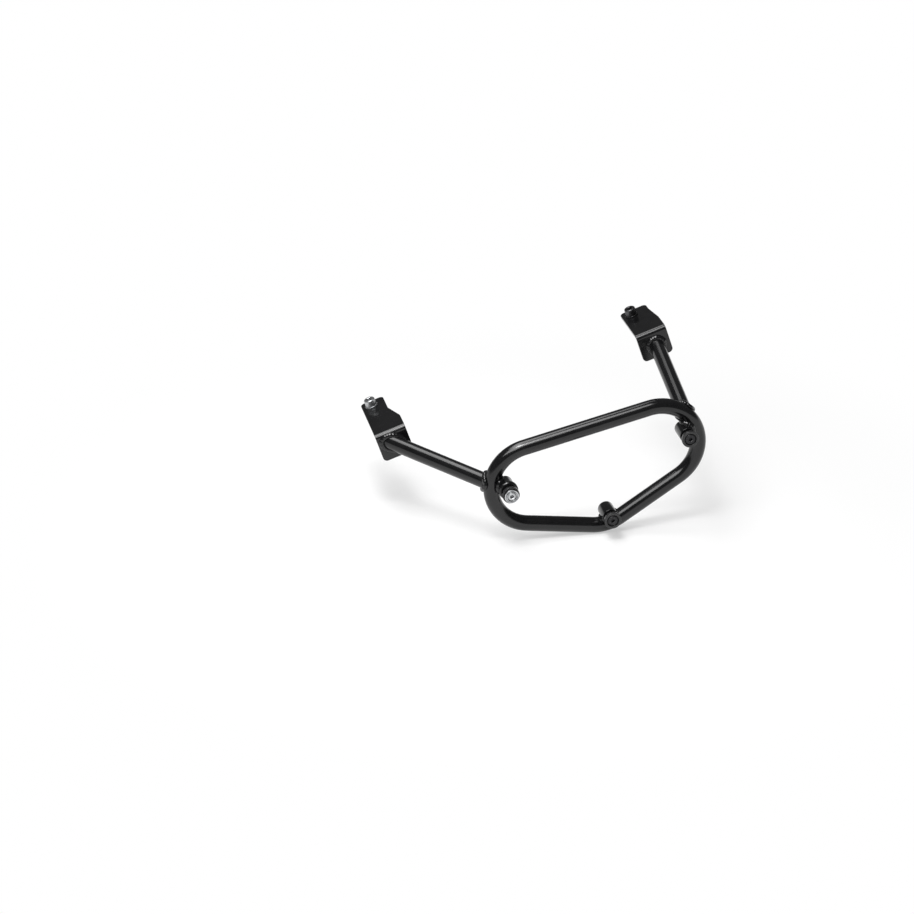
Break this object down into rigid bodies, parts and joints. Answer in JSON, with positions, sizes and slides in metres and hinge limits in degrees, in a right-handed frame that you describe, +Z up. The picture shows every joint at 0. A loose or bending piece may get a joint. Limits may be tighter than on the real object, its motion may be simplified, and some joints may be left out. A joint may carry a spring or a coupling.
{
  "type": "pannier frame",
  "caption": "Side pannier frame of bent round tube: a rounded triangular loop with hook-on heads, carried on tube arms from folded brackets with bolts.",
  "frame": {"origin": "middle of the front bolt hole on the underside of the front bracket, where the bracket seats on the subframe", "axes": "+X to the motorcycle's tail, +Y inboard (this is the left-hand frame), +Z up"},
  "size_m": [0.3631, 0.226, 0.1995],
  "materials": {
    "powder_coat": "gloss black powder coat",
    "black_plastic": "satin black moulded plastic",
    "black_steel": "black coated steel screws",
    "bright_steel": "bright turned steel",
    "dark_steel": "dulled zinc plated steel"
  },
  "bodies": {
    "root": {"loop_tube": "powder_coat", "front_arm_tube": "powder_coat", "rear_arm_tube": "powder_coat", "front_bracket": "powder_coat", "rear_bracket": "powder_coat", "front_arm_bracket_weld": "powder_coat", "rear_arm_bracket_weld": "powder_coat", "front_arm_loop_weld": "powder_coat", "rear_arm_loop_weld": "powder_coat", "front_boss": "powder_coat", "lower_boss": "powder_coat", "rear_boss": "powder_coat", "front_boss_weld": "powder_coat", "lower_boss_weld": "powder_coat", "rear_boss_weld": "powder_coat", "lower_head": "black_plastic", "lower_head_screw": "black_steel", "rear_head": "black_plastic", "rear_head_screw": "black_steel", "lock_head": "black_plastic", "lock_bush": "bright_steel", "lock_screw": "bright_steel", "front_bolt": "bright_steel", "front_bolt_washer": "bright_steel", "rear_bolt": "dark_steel", "rear_bolt_washer": "dark_steel"}
  },
  "joints": []
}
